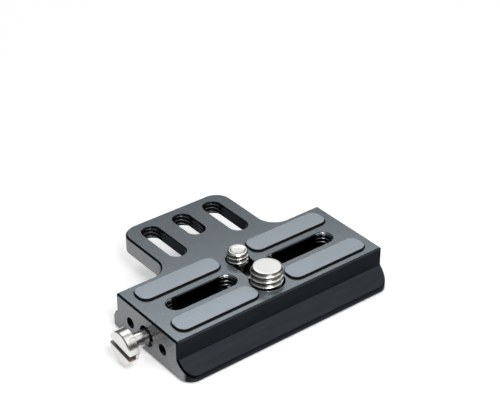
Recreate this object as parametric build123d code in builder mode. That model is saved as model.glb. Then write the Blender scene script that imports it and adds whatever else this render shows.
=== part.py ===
import os

from build123d import *

os.makedirs("parts", exist_ok=True)

# dovetail bar
bar_length = 73.5
dovetail_width = 38.0
dovetail_flare = 4.5
neck_height = 6.0
lip_height = 1.7
lip_corner_radius = 4.2
edge_break = 0.5

# tongue
tongue_width = 37.5
tongue_reach = 40.0
tongue_thickness = 5.2
tongue_corner_radius = 5.4
tongue_root_radius = 5.6

# slots: distances are walls left between a slot and an edge
web_thickness = 3.8
slot_width = 5.6
slot_break = 0.3
bar_slot_end_wall = 7.4
bar_slot_inner_end = 6.2
tongue_slot_side_wall = 4.7
tongue_slot_back_wall = 3.4
outer_slot_front_wall = 3.7
middle_slot_front_wall = 9.8
relief_rim = 1.8

# camera screws, their tapped holes and the pocket for their heads
thread_clearance = 0.04
shank_relief = 0.5
quarter_thread_radius = 3.175
quarter_rise = 3.4
quarter_tip_break = 0.45
three_eighths_thread_radius = 4.7625
three_eighths_rise = 4.9
three_eighths_tip_break = 0.7
keyhole_break = 0.45
head_gap = 0.04
head_height = 3.6
head_break = 0.3
head_land = 1.9
head_step = 0.5
coin_slot_width = 1.6
coin_slot_depth = 1.5
pocket_clearance = 0.4
pocket_end_wall = 5.5
pocket_front_wall = 1.3
pocket_back_wall = 1.5

# pads in their recesses
pad_width = 6.65
pad_corner_radius = 2.7
pad_end_margin = 3.4
pad_edge_margin = 2.375
pad_land = 0.35
pad_gap = 0.3
pad_recess_depth = 0.8
pad_rise = 0.75
pad_round = 0.15

# left end face and its screw
end_hole_drop = 6.4
locating_hole_radius = 1.7
locating_hole_depth = 5.0
locating_hole_y = 7.65
side_neck_radius = 2.25
side_neck_inside = 0.3
side_thread_length = 5.2
side_head_radius = 5.0
side_head_height = 3.2
side_head_stand_off = 5.55
side_head_break = 0.25
side_slot_width = 1.4
side_slot_depth = 2.0
side_slot_tilt = 11.0

# derived heights
plate_height = neck_height + dovetail_flare + lip_height
tongue_bottom = plate_height - tongue_thickness
web_bottom = plate_height - web_thickness
camera_seat = plate_height + pad_rise
end_hole_z = plate_height - end_hole_drop

# derived plan
half_length = bar_length / 2
half_neck = dovetail_width / 2 - dovetail_flare
pocket_length = bar_length - 2 * pocket_end_wall
pocket_span = 2 * half_neck - pocket_front_wall - pocket_back_wall
three_eighths_head_radius = (pocket_span - 2 * pocket_clearance + head_step - head_land) / 4
quarter_head_radius = three_eighths_head_radius - head_step
pocket_width = 2 * (three_eighths_head_radius + pocket_clearance)
quarter_y = half_neck - pocket_back_wall - pocket_width / 2
three_eighths_y = pocket_front_wall + pocket_width / 2 - half_neck
keyhole_length = quarter_y - three_eighths_y
keyhole_middle = (quarter_y + three_eighths_y) / 2
quarter_hole_radius = quarter_thread_radius + thread_clearance
three_eighths_hole_radius = three_eighths_thread_radius + thread_clearance
bar_slot_length = half_length - bar_slot_end_wall - bar_slot_inner_end
bar_slot_centre = bar_slot_inner_end + bar_slot_length / 2
tongue_slot_pitch = tongue_width / 2 - tongue_slot_side_wall - slot_width / 2
tongue_slot_end = tongue_reach - tongue_slot_back_wall
outer_slot_length = tongue_slot_end - outer_slot_front_wall - half_neck
middle_slot_length = tongue_slot_end - middle_slot_front_wall - half_neck
tongue_slots = (
    (-tongue_slot_pitch, outer_slot_length),
    (0, middle_slot_length),
    (tongue_slot_pitch, outer_slot_length),
)
pad_inner_end = three_eighths_hole_radius + keyhole_break + pad_land + pad_gap
pad_length = half_length - pad_end_margin - pad_inner_end
pad_x = pad_inner_end + pad_length / 2
pad_y = half_neck - pad_edge_margin - pad_width / 2
end_plane = Plane(origin=(-half_length, 0, end_hole_z), x_dir=(0, 1, 0), z_dir=(1, 0, 0))

with BuildPart() as plate_body:
    # dovetail bar, its lip rounded in plan
    with BuildSketch(Plane.YZ):
        with BuildLine():
            Polyline(
                (-dovetail_width / 2, 0),
                (dovetail_width / 2, 0),
                (dovetail_width / 2, lip_height),
                (half_neck, lip_height + dovetail_flare),
                (half_neck, plate_height),
                (-half_neck, plate_height),
                (-half_neck, lip_height + dovetail_flare),
                (-dovetail_width / 2, lip_height),
                close=True,
            )
        make_face()
    extrude(amount=half_length, both=True)
    with BuildSketch():
        RectangleRounded(bar_length, dovetail_width, lip_corner_radius)
    extrude(amount=plate_height, mode=Mode.INTERSECT)

    # tongue, with its root rounded into the bar
    with BuildSketch(Plane.XY.offset(tongue_bottom)) as tongue_plan:
        Rectangle(bar_length, 2 * half_neck)
        Rectangle(tongue_width, tongue_reach, align=(Align.CENTER, Align.MIN))
        fillet(tongue_plan.vertices().group_by(Axis.Y)[-1], tongue_corner_radius)
        roots = [
            v
            for v in tongue_plan.vertices()
            if abs(abs(v.X) - tongue_width / 2) < 1e-4 and abs(v.Y - half_neck) < 1e-4
        ]
        fillet(roots, tongue_root_radius)
    extrude(amount=tongue_thickness)

    # outer edges broken: top and base outlines, corners of the neck, ends of the slopes
    outlines = plate_body.edges().group_by(Axis.Z)[-1] + plate_body.edges().group_by(Axis.Z)[0]
    neck_corners = [
        e
        for e in plate_body.edges().filter_by(Axis.Z)
        if abs(abs(e.center().X) - half_length) < 1e-4
        and abs(abs(e.center().Y) - half_neck) < 1e-4
    ]
    slopes = [f for f in plate_body.faces() if 0.6 < f.normal_at().Z < 0.8]
    slope_ends = [e for f in slopes for e in f.edges() if abs(e.tangent_at(0.5).X) < 0.9]
    chamfer(list(outlines) + neck_corners + slope_ends, edge_break)

    # pocket underneath for the screw heads
    with BuildSketch():
        SlotOverall(pocket_length, pocket_width)
        with Locations((0, keyhole_middle)):
            SlotCenterToCenter(keyhole_length, pocket_width, rotation=90)
    extrude(amount=web_bottom, mode=Mode.SUBTRACT)

    # reliefs under the tongue's slots
    with BuildSketch(Plane.XY.offset(tongue_bottom)):
        for x, length in tongue_slots:
            with Locations((x, tongue_slot_end - length / 2)):
                SlotOverall(length + 2 * relief_rim, slot_width + 2 * relief_rim, rotation=90)
    extrude(amount=web_bottom - tongue_bottom, mode=Mode.SUBTRACT)

    # slots through the web
    with BuildSketch(Plane.XY.offset(plate_height)):
        with Locations((-bar_slot_centre, 0), (bar_slot_centre, 0)):
            SlotOverall(bar_slot_length, slot_width)
        for x, length in tongue_slots:
            with Locations((x, tongue_slot_end - length / 2)):
                SlotOverall(length, slot_width, rotation=90)
    extrude(amount=-web_thickness, mode=Mode.SUBTRACT)

    # rims of the slots broken
    rims = plate_body.faces().sort_by(Axis.Z)[-1].inner_wires()
    chamfer([e for w in rims for e in w.edges()], slot_break)

    # keyhole: two tapped holes joined by a slot, countersunk all round
    with BuildSketch(Plane.XY.offset(plate_height)):
        with Locations((0, quarter_y)):
            Circle(quarter_hole_radius)
        with Locations((0, three_eighths_y)):
            Circle(three_eighths_hole_radius)
        with Locations((0, keyhole_middle)):
            Rectangle(slot_width, keyhole_length)
    extrude(amount=-web_thickness, mode=Mode.SUBTRACT)
    for y, radius in ((quarter_y, quarter_hole_radius), (three_eighths_y, three_eighths_hole_radius)):
        with Locations((0, y, plate_height)):
            Cone(
                radius,
                radius + keyhole_break,
                keyhole_break,
                align=(Align.CENTER, Align.CENTER, Align.MAX),
                mode=Mode.SUBTRACT,
            )
    with BuildSketch(Plane.XZ.offset(-keyhole_middle)):
        with BuildLine():
            Polyline(
                (-slot_width / 2, plate_height - keyhole_break),
                (slot_width / 2, plate_height - keyhole_break),
                (slot_width / 2 + keyhole_break, plate_height),
                (-slot_width / 2 - keyhole_break, plate_height),
                close=True,
            )
        make_face()
    extrude(amount=keyhole_length / 2, both=True, mode=Mode.SUBTRACT)

    # recesses of the pads
    with BuildSketch(Plane.XY.offset(plate_height)):
        with GridLocations(2 * pad_x, 2 * pad_y, 2, 2):
            RectangleRounded(pad_length + 2 * pad_gap, pad_width + 2 * pad_gap, pad_corner_radius + pad_gap)
    extrude(amount=-pad_recess_depth, mode=Mode.SUBTRACT)

    # left end face: tapped hole into the pocket and two locating holes
    with BuildSketch(end_plane):
        Circle(quarter_hole_radius)
    extrude(amount=pocket_end_wall + pocket_width / 2, mode=Mode.SUBTRACT)
    with BuildSketch(end_plane):
        with Locations((-locating_hole_y, 0), (locating_hole_y, 0)):
            Circle(locating_hole_radius)
    extrude(amount=locating_hole_depth, mode=Mode.SUBTRACT)
plate_body.part.label = "plate_body"
export_step(plate_body.part, "parts/plate_body.step")


def pad(x, y, name):
    with BuildPart() as strip:
        with BuildSketch(Plane.XY.offset(plate_height - pad_recess_depth)):
            with Locations((x, y)):
                RectangleRounded(pad_length, pad_width, pad_corner_radius)
        extrude(amount=pad_recess_depth + pad_rise)
        fillet(strip.faces().sort_by(Axis.Z)[-1].edges(), pad_round)
    strip.part.label = name
    export_step(strip.part, f"parts/{name}.step")


pad(-pad_x, -pad_y, "pad_front_left")
pad(pad_x, -pad_y, "pad_front_right")
pad(-pad_x, pad_y, "pad_back_left")
pad(pad_x, pad_y, "pad_back_right")


def camera_screw(y, thread_radius, rise, tip_break, head_radius, name):
    head_top = web_bottom - head_gap
    head_bottom = head_top - head_height
    with BuildPart() as screw:
        with BuildSketch(Plane.XY.offset(head_bottom)):
            with Locations((0, y)):
                Circle(head_radius)
        extrude(amount=head_height)
        chamfer(screw.edges().filter_by(GeomType.CIRCLE), head_break)
        with BuildSketch(Plane.XY.offset(head_top)):
            with Locations((0, y)):
                Circle(thread_radius - shank_relief)
        extrude(amount=camera_seat - head_top)
        with BuildSketch(Plane.XY.offset(camera_seat)):
            with Locations((0, y)):
                Circle(thread_radius)
        extrude(amount=plate_height + rise - camera_seat)
        chamfer(screw.edges().group_by(Axis.Z)[-1], tip_break)
        with BuildSketch(Plane.XY.offset(head_bottom)):
            with Locations((0, y)):
                Rectangle(2 * head_radius, coin_slot_width)
        extrude(amount=coin_slot_depth, mode=Mode.SUBTRACT)
    screw.part.label = name
    export_step(screw.part, f"parts/{name}.step")


camera_screw(
    quarter_y,
    quarter_thread_radius,
    quarter_rise,
    quarter_tip_break,
    quarter_head_radius,
    "quarter_inch_screw",
)
camera_screw(
    three_eighths_y,
    three_eighths_thread_radius,
    three_eighths_rise,
    three_eighths_tip_break,
    three_eighths_head_radius,
    "three_eighths_screw",
)

# side screw: slotted head, thin neck, thread in the tapped hole
neck_length = side_head_stand_off + side_neck_inside
with BuildPart() as side_screw:
    with BuildSketch(end_plane.offset(-side_head_stand_off - side_head_height)):
        Circle(side_head_radius)
    extrude(amount=side_head_height)
    chamfer(side_screw.edges().group_by(Axis.X)[0], side_head_break)
    with BuildSketch(end_plane.offset(-side_head_stand_off)):
        Circle(side_neck_radius)
    extrude(amount=neck_length)
    with BuildSketch(end_plane.offset(side_neck_inside)):
        Circle(quarter_thread_radius)
    extrude(amount=side_thread_length)
    chamfer(side_screw.edges().group_by(Axis.X)[-1], head_break)
    with BuildSketch(end_plane.offset(-side_head_stand_off - side_head_height)):
        Rectangle(2 * side_head_radius, side_slot_width, rotation=side_slot_tilt)
    extrude(amount=side_slot_depth, mode=Mode.SUBTRACT)
side_screw.part.label = "side_screw"
export_step(side_screw.part, "parts/side_screw.step")
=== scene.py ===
import math

import bmesh
import bpy
from mathutils import Matrix, Vector


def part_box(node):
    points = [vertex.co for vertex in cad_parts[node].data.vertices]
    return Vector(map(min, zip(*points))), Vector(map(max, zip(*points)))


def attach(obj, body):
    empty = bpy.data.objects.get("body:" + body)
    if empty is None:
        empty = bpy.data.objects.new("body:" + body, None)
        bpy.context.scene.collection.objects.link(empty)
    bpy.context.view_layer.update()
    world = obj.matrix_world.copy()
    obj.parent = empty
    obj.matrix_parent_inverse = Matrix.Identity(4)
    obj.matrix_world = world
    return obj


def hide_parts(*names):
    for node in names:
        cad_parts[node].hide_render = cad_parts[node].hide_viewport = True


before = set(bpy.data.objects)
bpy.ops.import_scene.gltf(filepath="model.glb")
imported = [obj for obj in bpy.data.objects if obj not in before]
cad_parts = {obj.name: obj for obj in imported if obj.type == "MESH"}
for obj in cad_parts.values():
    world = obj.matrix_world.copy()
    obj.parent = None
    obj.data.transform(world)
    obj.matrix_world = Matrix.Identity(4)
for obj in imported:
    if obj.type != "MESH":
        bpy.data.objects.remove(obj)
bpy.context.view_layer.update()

scene = bpy.context.scene
scene.view_settings.view_transform = "Standard"

# units, in metres
MM = 0.001
INCH = 25.4 * MM

# plate: outer faces from the frame, then the sizes and walls of its cuts
plate_low, plate_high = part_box("plate_body")
END_FACE = plate_low.x
PLATE_TOP = plate_high.z
HALF_NECK = 14.5 * MM
HALF_TONGUE = 18.75 * MM
LIP_HEIGHT = 1.7 * MM
WEB_THICKNESS = 3.8 * MM
END_HOLE_DROP = 6.4 * MM
SLOT_RADIUS = 2.8 * MM
BAR_SLOT_END_WALL = 7.4 * MM
BAR_SLOT_INNER_END = 6.2 * MM
TONGUE_SLOT_SIDE_WALL = 4.7 * MM
TONGUE_SLOT_BACK_WALL = 3.4 * MM
MIDDLE_SLOT_FRONT_WALL = 9.8 * MM
WEB_BOTTOM = PLATE_TOP - WEB_THICKNESS
SIDE_AXIS_HEIGHT = PLATE_TOP - END_HOLE_DROP

# threads: radius over the crests and distance between them
QUARTER_RADIUS = INCH / 8
QUARTER_PITCH = 1.4 * MM
THREE_EIGHTHS_RADIUS = INCH * 3 / 16
THREE_EIGHTHS_PITCH = 1.78 * MM
SLOT_PITCH = INCH / 20
CREST_FLAT = 1 / 8
ROOT_FLAT = 1 / 4
# share of a turn at which the height of a screw's crest is given
CREST_TURN = -128.2 / 360

# fineness of the turned meshes, round the axis and along a thread
SEGMENTS = 128
STEPS_PER_PITCH = 32
# length of the box that cuts a screw's slot, in radii of the head
SLOT_CUT_LENGTH = 2.2


def tone(red, green, blue):
    return (red, green, blue, 1)


def steps(low, high, count):
    return [low + (high - low) * i / count for i in range(count + 1)]


class Nodes:
    """Short calls for building a material's node tree."""

    def __init__(self, name):
        self.material = bpy.data.materials.new(name)
        self.material.use_nodes = True
        self.tree = self.material.node_tree
        self.shader = self.tree.nodes["Principled BSDF"]

    def add(self, kind, **settings):
        node = self.tree.nodes.new(kind)
        for key, value in settings.items():
            setattr(node, key, value)
        return node

    def feed(self, socket, value):
        if isinstance(value, bpy.types.NodeSocket):
            self.tree.links.new(value, socket)
        else:
            socket.default_value = value

    def feed_all(self, sockets, values):
        for socket, value in zip(sockets, values):
            self.feed(socket, value)

    def set(self, **values):
        for name, value in values.items():
            self.feed(self.shader.inputs[name.replace("_", " ")], value)

    def math(self, operation, *values):
        node = self.add("ShaderNodeMath", operation=operation)
        self.feed_all(node.inputs, values)
        return node.outputs[0]

    def vector(self, operation, *values):
        node = self.add("ShaderNodeVectorMath", operation=operation)
        self.feed_all(node.inputs, values)
        return node.outputs["Value" if operation in ("LENGTH", "DOT_PRODUCT") else "Vector"]

    def ramp(self, value, low, high, to_low=0.0, to_high=1.0):
        node = self.add("ShaderNodeMapRange", interpolation_type="SMOOTHSTEP")
        self.feed_all(node.inputs, (value, low, high, to_low, to_high))
        return node.outputs[0]

    def mix(self, factor, first, second):
        node = self.add("ShaderNodeMix", data_type="RGBA")
        sockets = {socket.identifier: socket for socket in node.inputs}
        names = ("Factor_Float", "A_Color", "B_Color")
        self.feed_all([sockets[name] for name in names], (factor, first, second))
        return next(socket for socket in node.outputs if socket.identifier == "Result_Color")

    def coordinates(self, kind):
        return self.add("ShaderNodeTexCoord").outputs[kind]

    def split(self, vector):
        node = self.add("ShaderNodeSeparateXYZ")
        self.feed(node.inputs[0], vector)
        return node.outputs

    def attribute(self, name):
        return self.add("ShaderNodeAttribute", attribute_name=name).outputs["Fac"]

    def noise(self, scale, detail=3.0, roughness=0.5, stretch=None):
        node = self.add("ShaderNodeTexNoise")
        place = self.coordinates("Object")
        if stretch:
            mapping = self.add("ShaderNodeMapping")
            mapping.inputs["Scale"].default_value = stretch
            self.feed(mapping.inputs["Vector"], place)
            place = mapping.outputs["Vector"]
        self.feed(node.inputs["Vector"], place)
        node.inputs["Scale"].default_value = scale
        node.inputs["Detail"].default_value = detail
        node.inputs["Roughness"].default_value = roughness
        return node.outputs["Fac"]

    def bump(self, height, strength, distance):
        node = self.add("ShaderNodeBump")
        node.inputs["Strength"].default_value = strength
        node.inputs["Distance"].default_value = distance
        self.feed(node.inputs["Height"], height)
        self.feed(self.shader.inputs["Normal"], node.outputs["Normal"])


def anodised():
    """Anodised aluminium painted with light and shade: level and end faces painted lit grey, upward slopes
    and chamfers painted dark grey, the lip between, and the other upright faces, the front neck and slot
    walls among them, painted near black as shade.
    """
    n = Nodes("anodised_aluminium")
    x, y, z = n.split(n.coordinates("Object"))
    nx, ny, nz = n.split(n.coordinates("Normal"))
    grain = n.noise(2600, 4, 0.65)
    cloud = n.noise(60, 2)
    streak = n.noise(900, 3, 0.6, stretch=(0.12, 1.0, 1.0))

    end_zone = -END_FACE - 0.75 * MM
    tongue_side_zone = HALF_TONGUE - 0.85 * MM
    tongue_zone = HALF_NECK + 0.1 * MM
    lip_zone = LIP_HEIGHT + 0.05 * MM

    def both(first, second):
        return n.math("MULTIPLY", first, second)

    def square_to(component):
        return n.ramp(n.math("ABSOLUTE", component), 0.8, 0.95)

    # masks of the kinds of face, which set where lit grey, half shade and shade are painted
    level = square_to(nz)
    across = n.math("ABSOLUTE", x)
    bar_end = n.math("GREATER_THAN", across, end_zone)
    tongue_side = both(
        n.math("GREATER_THAN", across, tongue_side_zone),
        n.math("GREATER_THAN", y, tongue_zone),
    )
    end_face = both(square_to(nx), n.math("MAXIMUM", bar_end, tongue_side))
    sloped = n.ramp(nz, 0.5, 0.65)
    lip = both(n.math("LESS_THAN", z, lip_zone), n.ramp(n.math("ABSOLUTE", ny), 0.6, 0.9))
    flank_share = n.math("MAXIMUM", sloped, n.math("MULTIPLY", lip, 0.5))

    # painted light and shade: lit and shaded copies of one anodised finish, near black for shaded upright
    # faces, dark grey for half-lit slopes, lighter grey for lit end and level faces; the grain, cloud and
    # streak noise are the finish's own random tone
    shaded_black = n.mix(streak, tone(0.006, 0.0075, 0.0095), tone(0.0135, 0.0165, 0.0195))
    half_shaded_flank = n.mix(streak, tone(0.026, 0.0325, 0.038), tone(0.052, 0.062, 0.072))
    end = n.mix(grain, tone(0.175, 0.178, 0.187), tone(0.265, 0.27, 0.279))
    flat = n.mix(grain, tone(0.208, 0.24, 0.263), tone(0.302, 0.345, 0.375))
    flat = n.mix(n.ramp(cloud, 0.35, 0.65, 0.0, 0.15), flat, tone(0.201, 0.231, 0.253))
    upright_light_and_shade = n.mix(end_face, n.mix(flank_share, shaded_black, half_shaded_flank), end)
    n.set(
        Base_Color=n.mix(level, upright_light_and_shade, flat),
        Metallic=n.ramp(level, 0.0, 1.0, 1.0, 0.75),
        Specular_Tint=tone(0.6, 0.6, 0.6),
        Roughness=n.math("ADD", n.ramp(grain, 0.2, 0.8, 0.2, 0.28), n.math("MULTIPLY", end_face, 0.04)),
    )
    n.bump(grain, 0.15, 0.02 * MM)
    return n.material


def tapped(name, dull, worn):
    """Thread cut in anodised aluminium: grooves painted near black as shade, crests painted lighter as a
    highlight, varied at random.
    """
    n = Nodes(name)
    wear = n.noise(1800, 3, 0.6)
    crest = n.ramp(n.attribute("crest"), 0.75, 1.0)
    n.set(
        # painted shade in the grooves and painted highlight on the crests, the crest tone varied at random
        # between the two given tones
        Base_Color=n.mix(crest, tone(0.004, 0.0045, 0.005), n.mix(wear, dull, worn)),
        Metallic=1.0,
        Roughness=n.ramp(wear, 0.25, 0.75, 0.2, 0.32),
    )
    n.bump(wear, 0.15, 0.01 * MM)
    return n.material


def rubber():
    """Grey rubber with a fine skin; its sides painted near black as shade."""
    n = Nodes("grey_rubber")
    facing_up = n.split(n.coordinates("Normal"))["Z"]
    skin = n.noise(5200, 3, 0.6)
    cloud = n.noise(90, 2)
    top = n.mix(skin, tone(0.298, 0.34, 0.38), tone(0.353, 0.4, 0.443))
    top = n.mix(n.ramp(cloud, 0.35, 0.65, 0.0, 0.15), top, tone(0.282, 0.321, 0.361))
    n.set(
        # painted shade: faces that do not face up are near black
        Base_Color=n.mix(n.ramp(facing_up, 0.8, 0.98), tone(0.0055, 0.0055, 0.007), top),
        Roughness=n.ramp(skin, 0.2, 0.8, 0.55, 0.68),
        Specular_IOR_Level=0.25,
    )
    n.bump(skin, 0.2, 0.02 * MM)
    return n.material


def turned_steel(name, centre, axis, groove_shade_and_slot, dull, bright):
    """Bright steel with fine turning rings, painted darker as shade where the crest mark is low, in thread
    grooves and on a shank, and dull on the faces of a cut slot.
    """
    n = Nodes(name)
    offset = n.vector("SUBTRACT", n.coordinates("Object"), centre)
    off_axis = n.vector("MULTIPLY", offset, tuple(0.0 if a else 1.0 for a in axis))
    reach = n.vector("LENGTH", off_axis)
    along = n.vector("DOT_PRODUCT", offset, axis)
    rings_per_metre = 9000.0
    rings = n.add("ShaderNodeTexNoise", noise_dimensions="1D")
    n.feed(rings.inputs["W"], n.math("MULTIPLY", n.math("ADD", reach, along), rings_per_metre))
    rings.inputs["Scale"].default_value = 1.0
    rings.inputs["Detail"].default_value = 3.0
    marks = rings.outputs["Fac"]
    smudge = n.noise(420, 3)
    crest = n.ramp(n.attribute("crest"), 0.5, 1.0)
    cut = n.attribute("cut")
    end_on = n.math("ABSOLUTE", n.vector("DOT_PRODUCT", n.coordinates("Normal"), axis))
    faced = n.ramp(end_on, 0.9, 0.98, 0.0, 0.16)
    worn = n.ramp(smudge, 0.3, 0.7, -0.03, 0.05)
    turned = n.ramp(marks, 0.25, 0.75, 0.18, 0.28)
    n.set(
        # painted shade: thread grooves and the shank take the dark groove tone; cut slot faces take the same
        # tone as a dull, non-metal finish
        Base_Color=n.mix(n.math("SUBTRACT", crest, cut), groove_shade_and_slot, n.mix(smudge, dull, bright)),
        Metallic=n.math("SUBTRACT", 1.0, cut),
        Roughness=n.math("ADD", n.math("ADD", turned, faced), worn),
    )
    n.bump(marks, 0.12, 0.01 * MM)
    return n.material


def pale_floor():
    """Floor that shows white to the camera and in reflections, but not where the bar closes it in."""
    n = Nodes("pale_floor")
    glow = 0.375
    half_length, half_width = -END_FACE - 0.75 * MM, HALF_NECK
    rays = n.add("ShaderNodeLightPath").outputs
    seen = n.math("MAXIMUM", rays["Is Camera Ray"], rays["Is Glossy Ray"])
    seen = n.math("MAXIMUM", seen, rays["Is Transmission Ray"])
    x, y, _ = n.split(n.coordinates("Object"))
    # the floor's white glow stands in for light; it is left off inside the bar's footprint, so the floor
    # seen through the slots keeps its lamp-lit shade
    beyond_ends = n.math("GREATER_THAN", n.math("ABSOLUTE", x), half_length)
    beyond_sides = n.math("GREATER_THAN", n.math("ABSOLUTE", y), half_width)
    open_floor = n.math("MAXIMUM", beyond_ends, beyond_sides)
    n.set(
        Base_Color=tone(0.88, 0.88, 0.88),
        Roughness=0.9,
        Specular_IOR_Level=0.1,
        Emission_Color=tone(1, 1, 1),
        Emission_Strength=n.math("MULTIPLY", n.math("MULTIPLY", seen, open_floor), glow),
    )
    return n.material


def finish_mesh(name, bm, material, sharp):
    """Object from a bmesh, smooth shaded with edges above the sharp angle, in degrees, kept crisp."""
    bmesh.ops.remove_doubles(bm, verts=bm.verts, dist=1e-8)
    bmesh.ops.recalc_face_normals(bm, faces=bm.faces)
    for face in bm.faces:
        face.smooth = True
    limit = math.radians(sharp)
    for edge in bm.edges:
        edge.smooth = len(edge.link_faces) == 2 and edge.calc_face_angle(0) < limit
    mesh = bpy.data.meshes.new(name)
    bm.to_mesh(mesh)
    bm.free()
    mesh.materials.append(material)
    obj = bpy.data.objects.new(name, mesh)
    scene.collection.objects.link(obj)
    return obj


def bridge(bm, rows):
    """Quads between closed rows of vertices, each row joined to the next."""
    count = len(rows[0])
    for first, second in zip(rows, rows[1:]):
        for i in range(count):
            j = (i + 1) % count
            bm.faces.new((first[i], first[j], second[j], second[i]))


def turn_rings(rings, place):
    """Closed body of revolution from rings of height, radius and crest.

    Radius and crest are numbers, or functions of the turn.
    """
    bm = bmesh.new()
    crests = bm.verts.layers.float.new("crest")

    def at(value, turn):
        return value(turn) if callable(value) else value

    rows = []
    for height, radius, crest in rings:
        row = []
        for i in range(SEGMENTS):
            turn = i / SEGMENTS
            r, angle = at(radius, turn), 2 * math.pi * turn
            vert = bm.verts.new(place @ Vector((r * math.cos(angle), r * math.sin(angle), height)))
            vert[crests] = at(crest, turn)
            row.append(vert)
        rows.append(row)
    bridge(bm, rows)
    bm.faces.new(rows[0][::-1])
    bm.faces.new(rows[-1])
    return bm


def cut_box(bm, size, place):
    """Takes a box away from a closed bmesh and marks the faces that this makes."""
    box = place @ Matrix.Diagonal((*size, 1))
    just_over_half = 0.5001

    def linked(mesh_name, source):
        mesh = bpy.data.meshes.new(mesh_name)
        source.to_mesh(mesh)
        source.free()
        obj = bpy.data.objects.new(mesh_name, mesh)
        scene.collection.objects.link(obj)
        return obj

    cutter = bmesh.new()
    bmesh.ops.create_cube(cutter, size=1, matrix=box)
    body, tool = linked("cut_body", bm), linked("cut_tool", cutter)
    modifier = body.modifiers.new("cut", "BOOLEAN")
    modifier.operation = "DIFFERENCE"
    modifier.solver = "EXACT"
    modifier.object = tool
    result = bmesh.new()
    result.from_object(body, bpy.context.evaluated_depsgraph_get())
    crests = result.verts.layers.float["crest"]
    cuts = result.faces.layers.float.new("cut")
    to_box = box.inverted()
    for face in result.faces:
        if max(abs(c) for c in to_box @ face.calc_center_median()) < just_over_half:
            face[cuts] = 1.0
            for vert in face.verts:
                vert[crests] = 1.0
    for obj in (body, tool):
        mesh = obj.data
        bpy.data.objects.remove(obj)
        bpy.data.meshes.remove(mesh)
    return result


def thread_shape(phase):
    """Height of a V thread with flats, 0 at the root and 1 at the crest, over one pitch."""
    from_crest = abs((phase + 0.5) % 1 - 0.5)
    root_edge, crest_edge = (1 - ROOT_FLAT) / 2, CREST_FLAT / 2
    return min(1.0, max(0.0, (root_edge - from_crest) / (root_edge - crest_edge)))


def thread_rings(low, high, pitch, crest_height, crest, depth, cap):
    """Rings of a right-hand thread between two heights, its radius held below cap(height)."""
    rings = []
    for height in steps(low, high, int((high - low) / pitch * STEPS_PER_PITCH)):
        limit = cap(height)

        def shape(turn, height=height):
            return thread_shape((height - crest_height) / pitch - turn + CREST_TURN)

        def radius(turn, shape=shape, limit=limit):
            return min(crest - depth * (1 - shape(turn)), limit)

        rings.append((height, radius, shape))
    return rings


def camera_screw(node, crest, pitch, crest_height, tip_break, dish):
    """Screw with a slotted head in the pocket, a plain shank in the keyhole and a thread above it."""
    low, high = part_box(node)
    foot, top = low.z, high.z
    axis = ((low.x + high.x) / 2, (low.y + high.y) / 2)
    head = (high.x - low.x) / 2
    head_top = WEB_BOTTOM - 0.04 * MM
    head_break = 0.3 * MM
    shank = crest - 0.5 * MM
    thread_depth = 0.38 * pitch
    thread_start = PLATE_TOP - 0.5 * MM
    thread_end = top - 0.06 * MM
    rings = [
        (foot, head - head_break, 1),
        (foot + head_break, head, 1),
        (head_top - head_break, head, 1),
        (head_top, head - head_break, 1),
        # painted shade: the shank in the keyhole and the thread's start are given crest 0, so they take the
        # dark groove tone
        (head_top, shank, 0),
        (thread_start - 0.02 * MM, crest - thread_depth, 0),
    ]

    def cap(height):
        return crest - max(0, height - top + tip_break)

    rings += thread_rings(thread_start, thread_end, pitch, crest_height, crest, thread_depth, cap)
    flat = crest - tip_break
    # tip: shares of its flat radius and of the dish's depth
    for share, drop in (
        (0.985, 0), (0.9, 0), (0.84, 0.25), (0.77, 0.7), (0.68, 0.95), (0.5, 1), (0.25, 1), (0.02, 1),
    ):
        rings.append((top - dish * drop, flat * share, 1))
    bm = turn_rings(rings, Matrix.Translation((*axis, 0)))
    coin_slot_width, coin_slot_depth = 1.6 * MM, 1.5 * MM
    coin_slot = Matrix.Translation((*axis, foot))
    bm = cut_box(bm, (SLOT_CUT_LENGTH * head, coin_slot_width, 2 * coin_slot_depth), coin_slot)
    steel = turned_steel(
        f"{node}_steel",
        centre=(*axis, 0),
        axis=(0, 0, 1),
        groove_shade_and_slot=tone(0.15, 0.143, 0.123),
        dull=tone(0.9, 0.9, 0.89),
        bright=tone(0.96, 0.96, 0.95),
    )
    obj = finish_mesh(f"{node}_turned", bm, steel, sharp=50)
    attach(obj, node)
    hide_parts(node)


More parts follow.
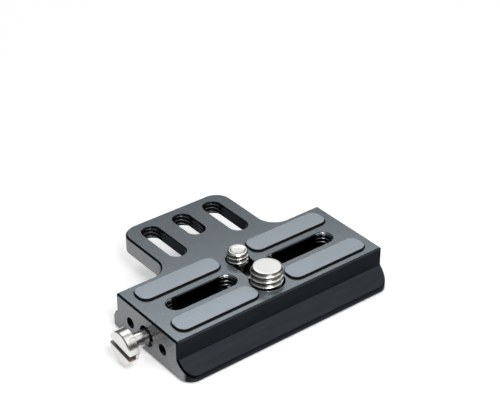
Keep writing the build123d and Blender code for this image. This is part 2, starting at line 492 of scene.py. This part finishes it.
def side_screw():
    """Slotted screw along X with a thin neck, its thread inside the end of the plate."""
    low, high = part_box("side_screw")
    front, end = low.x, high.x
    head, head_height, head_break = 5.0 * MM, 3.2 * MM, 0.25 * MM
    back, back_break = front + head_height, 0.12 * MM
    neck = 2.25 * MM
    thread_start = END_FACE + 1.3 * MM
    thread_depth = 0.5 * QUARTER_PITCH
    lead_in, tip_break = 0.2 * MM, 0.6 * MM
    rings = [
        (front, head - head_break, 1),
        (front + head_break, head, 1),
        (back - back_break, head, 1),
        (back, head - back_break, 1),
        (back, neck, 1),
        (thread_start, neck, 1),
    ]

    def cap(x):
        return QUARTER_RADIUS - max(0, x - end + tip_break) - max(0, thread_start + lead_in - x)

    rings += thread_rings(
        thread_start + 0.01 * MM, end, QUARTER_PITCH, thread_start, QUARTER_RADIUS, thread_depth, cap
    )
    along_x = Matrix(((0, 0, 1, 0), (1, 0, 0, 0), (0, 1, 0, SIDE_AXIS_HEIGHT), (0, 0, 0, 1)))
    bm = turn_rings(rings, along_x)
    slot_width, slot_depth = 1.9 * MM, 2.0 * MM
    slot_height = SIDE_AXIS_HEIGHT - 0.3 * MM
    slot_tilt = Matrix.Rotation(math.radians(8), 4, "X")
    slot = Matrix.Translation((front, 0, slot_height)) @ slot_tilt
    bm = cut_box(bm, (2 * slot_depth, SLOT_CUT_LENGTH * head, slot_width), slot)
    steel = turned_steel(
        "side_screw_steel",
        centre=(0, 0, SIDE_AXIS_HEIGHT),
        axis=(1, 0, 0),
        groove_shade_and_slot=tone(0.27, 0.222, 0.205),
        dull=tone(0.66, 0.652, 0.637),
        bright=tone(0.755, 0.747, 0.732),
    )
    obj = finish_mesh("side_screw_turned", bm, steel, sharp=30)
    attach(obj, "side_screw")
    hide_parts("side_screw")


def slot_thread(name, centre, heading, material, rim_highlight):
    """Thread tapped into the round end of a slot: ridges that fade out along the slot's straight walls."""
    bottom, top = WEB_BOTTOM + 0.05 * MM, PLATE_TOP - 0.34 * MM
    bottom_fade, top_fade = 0.25 * MM, 0.15 * MM
    depth, sunk, run = 0.45 * MM, 0.03 * MM, 2.4 * MM
    rim, proud = 0.3 * MM, 0.05 * MM
    wall_steps, arc_steps, height_steps = 9, 44, 54
    first_step = run / (wall_steps + 1)
    end = Vector((*centre, 0))
    inward = -Vector((math.cos(heading), math.sin(heading), 0))

    def stations():
        """Angle from the heading, distance along the wall, turn past the arc and strength of the thread."""
        quarter = math.pi / 2
        for along in steps(-run, -first_step, wall_steps):
            yield -quarter, -along, along / SLOT_RADIUS, 1 + along / run
        for angle in steps(-quarter, quarter, arc_steps):
            yield angle, 0.0, 0.0, 1.0
        for along in steps(first_step, run, wall_steps):
            yield quarter, along, along / SLOT_RADIUS, 1 - along / run

    bm = bmesh.new()
    crests = bm.verts.layers.float.new("crest")
    rows = []
    for angle, along, beyond, fade in stations():
        outward = Vector((math.cos(heading + angle), math.sin(heading + angle), 0))
        turn = (heading + angle + beyond) / (2 * math.pi)
        section = []
        for z in steps(bottom, top, height_steps):
            edge = min(1.0, (z - bottom) / bottom_fade, (top - z) / top_fade)
            ridge = fade * edge * thread_shape(z / SLOT_PITCH - turn)
            section.append((SLOT_RADIUS + sunk - (depth + sunk) * ridge, z, ridge))
        # rim edge: painted highlight, coloured like a crest to the degree set by the rim factor
        section += [
            (SLOT_RADIUS - proud, PLATE_TOP - rim, fade * rim_highlight),
            (SLOT_RADIUS + rim / 2 - proud, PLATE_TOP - rim / 2, fade * rim_highlight),
            (SLOT_RADIUS + rim, PLATE_TOP - rim, 0),
            (SLOT_RADIUS + rim, bottom, 0),
        ]
        row = []
        for r, z, crest in section:
            vert = bm.verts.new(end + inward * along + outward * r + Vector((0, 0, z)))
            vert[crests] = crest
            row.append(vert)
        rows.append(row)
    bridge(bm, rows)
    bm.faces.new(rows[0])
    bm.faces.new(rows[-1][::-1])
    obj = finish_mesh(name, bm, material, sharp=60)
    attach(obj, "plate")


def pad_strip(node, material):
    """Rubber strip with a soft upper edge and a slightly crowned top."""
    low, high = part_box(node)
    middle = (low + high) / 2
    half = (high - low) / 2
    corner = 2.7 * MM
    edge = 0.22 * MM
    crown, crown_shoulder, crown_inset = 0.04 * MM, 0.8 * MM, 1.7 * MM
    corner_steps, edge_steps = 10, 4
    shelf = high.z - crown

    def outline(inset):
        r = corner - inset
        points = []
        for side_x, side_y, first in ((1, 1, 0), (-1, 1, 90), (-1, -1, 180), (1, -1, 270)):
            for degrees in steps(first, first + 90, corner_steps):
                a = math.radians(degrees)
                points.append((
                    middle.x + side_x * (half.x - corner) + r * math.cos(a),
                    middle.y + side_y * (half.y - corner) + r * math.sin(a),
                ))
        return points

    levels = [(0, low.z)]
    for degrees in steps(0, 90, edge_steps):
        a = math.radians(degrees)
        levels.append((edge * (1 - math.cos(a)), shelf - edge * (1 - math.sin(a))))
    levels += [(crown_shoulder, shelf + 0.6 * crown), (crown_inset, high.z)]
    bm = bmesh.new()
    rows = [[bm.verts.new((x, y, z)) for x, y in outline(inset)] for inset, z in levels]
    bridge(bm, rows)
    bm.faces.new(rows[0][::-1])
    bm.faces.new(rows[-1])
    obj = finish_mesh(f"{node}_rubber", bm, material, sharp=60)
    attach(obj, "plate")
    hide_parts(node)


# plate and pads
plate_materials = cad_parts["plate_body"].data.materials
plate_materials.clear()
plate_materials.append(anodised())

pad_material = rubber()
for node in ("pad_front_left", "pad_front_right", "pad_back_left", "pad_back_right"):
    pad_strip(node, pad_material)

# screws
camera_screw(
    "quarter_inch_screw",
    crest=QUARTER_RADIUS,
    pitch=QUARTER_PITCH,
    crest_height=13.98 * MM,
    tip_break=0.55 * MM,
    dish=0.22 * MM,
)
camera_screw(
    "three_eighths_screw",
    crest=THREE_EIGHTHS_RADIUS,
    pitch=THREE_EIGHTHS_PITCH,
    crest_height=14.43 * MM,
    tip_break=0.7 * MM,
    dish=0,
)
side_screw()

# threads in the slot ends: centre of the round end and the way it faces
RIGHT, UP, LEFT, DOWN = 0, math.pi / 2, math.pi, 1.5 * math.pi
outer_x = -END_FACE - BAR_SLOT_END_WALL - SLOT_RADIUS
inner_x = BAR_SLOT_INNER_END + SLOT_RADIUS
tongue_x = HALF_TONGUE - TONGUE_SLOT_SIDE_WALL - SLOT_RADIUS
back_y = plate_high.y - TONGUE_SLOT_BACK_WALL - SLOT_RADIUS
middle_front_y = HALF_NECK + MIDDLE_SLOT_FRONT_WALL + SLOT_RADIUS
bar_ends = [
    ("left_outer", (-outer_x, 0), LEFT),
    ("left_inner", (-inner_x, 0), RIGHT),
    ("right_inner", (inner_x, 0), LEFT),
    ("right_outer", (outer_x, 0), RIGHT),
]
tongue_ends = [
    ("tongue_left", (-tongue_x, back_y), UP),
    ("tongue_middle", (0, back_y), UP),
    ("tongue_middle_front", (0, middle_front_y), DOWN),
    ("tongue_right", (tongue_x, back_y), UP),
]
# lit and shaded copies of one tapped thread: bar slot crests painted lighter, with a painted highlight on
# the rim; tongue slot crests painted darker as shade
highlit_thread = tapped("highlit_thread", tone(0.32, 0.335, 0.35), tone(0.58, 0.6, 0.615))
shaded_thread = tapped("shaded_thread", tone(0.13, 0.137, 0.145), tone(0.26, 0.267, 0.275))
for ends, material, rim_highlight in ((bar_ends, highlit_thread, 1.0), (tongue_ends, shaded_thread, 0.0)):
    for name, centre, heading in ends:
        slot_thread(f"slot_thread_{name}", centre, heading, material, rim_highlight)

# floor
FLOOR_REACH = 3
floor_mesh = bpy.data.meshes.new("floor")
floor_corners = [(x * FLOOR_REACH, y * FLOOR_REACH, 0) for x, y in ((-1, -1), (1, -1), (1, 1), (-1, 1))]
floor_mesh.from_pydata(floor_corners, [], [(0, 1, 2, 3)])
floor_mesh.materials.append(pale_floor())
floor = bpy.data.objects.new("floor", floor_mesh)
scene.collection.objects.link(floor)

# dome that is dim at the horizon and lighter overhead: heights, then strengths
DOME = (0.45, 0.9, 0.055, 0.42)
world = bpy.data.worlds.new("studio")
scene.world = world
world.use_nodes = True
sky = world.node_tree
background = sky.nodes["Background"]
height = sky.nodes.new("ShaderNodeSeparateXYZ")
sky.links.new(sky.nodes.new("ShaderNodeTexCoord").outputs["Generated"], height.inputs[0])
dome = sky.nodes.new("ShaderNodeMapRange")
dome.interpolation_type = "SMOOTHSTEP"
for socket, value in zip(dome.inputs[1:], DOME):
    socket.default_value = value
sky.links.new(height.outputs["Z"], dome.inputs["Value"])
background.inputs["Color"].default_value = tone(1, 1, 1)
sky.links.new(dome.outputs[0], background.inputs["Strength"])


def softbox(name, place, target, size, power):
    lamp = bpy.data.lights.new(name, "AREA")
    lamp.shape = "RECTANGLE"
    lamp.size, lamp.size_y = size
    lamp.energy = power
    obj = bpy.data.objects.new(name, lamp)
    obj.location = place
    obj.rotation_euler = (Vector(target) - Vector(place)).to_track_quat("-Z", "Y").to_euler()
    obj.visible_camera = False
    scene.collection.objects.link(obj)


# lamps: place, target and size in metres, power in watts
softbox("key", (-0.2, 0.4, 0.9), (0, 0.01, 0), (0.5, 0.5), 0.55)
softbox("left", (-0.04, -0.085, 0.125), (-0.02, 0, 0), (0.06, 0.06), 0.11)
softbox("back", (0.131, 0.579, 0.809), (0, 0.01, 0), (1.25, 0.5), 3.05)
softbox("front", (0.52, -0.54, 0.66), (0, 0, 0), (0.5, 0.5), 0.55)
softbox("right", (0.82, -0.08, 0.56), (0, 0, 0), (0.3, 0.3), 0.83)
softbox("glint", (0.104, -0.296, 0.736), (0, 0, 0), (0.1, 0.1), 0.26)
softbox("rim", (0.46, -0.13, 0.85), (-0.04, 0, 0), (0.28, 0.28), 0.3)

# camera: direction, distance and the point that it looks at
AZIMUTH, ELEVATION, DISTANCE = math.radians(-128.227), math.radians(32.26), 0.41544
TARGET = Vector((0.012085, 0.01627, 0.019536))
toward = Vector((
    math.cos(ELEVATION) * math.cos(AZIMUTH),
    math.cos(ELEVATION) * math.sin(AZIMUTH),
    math.sin(ELEVATION),
))
camera_data = bpy.data.cameras.new("camera")
camera_data.sensor_fit = "HORIZONTAL"
camera_data.sensor_width = 36
camera_data.lens = 101.99
camera_data.clip_start = 0.01
camera = bpy.data.objects.new("camera", camera_data)
camera.location = TARGET + toward * DISTANCE
camera.rotation_euler = toward.to_track_quat("Z", "Y").to_euler()
scene.collection.objects.link(camera)
scene.camera = camera
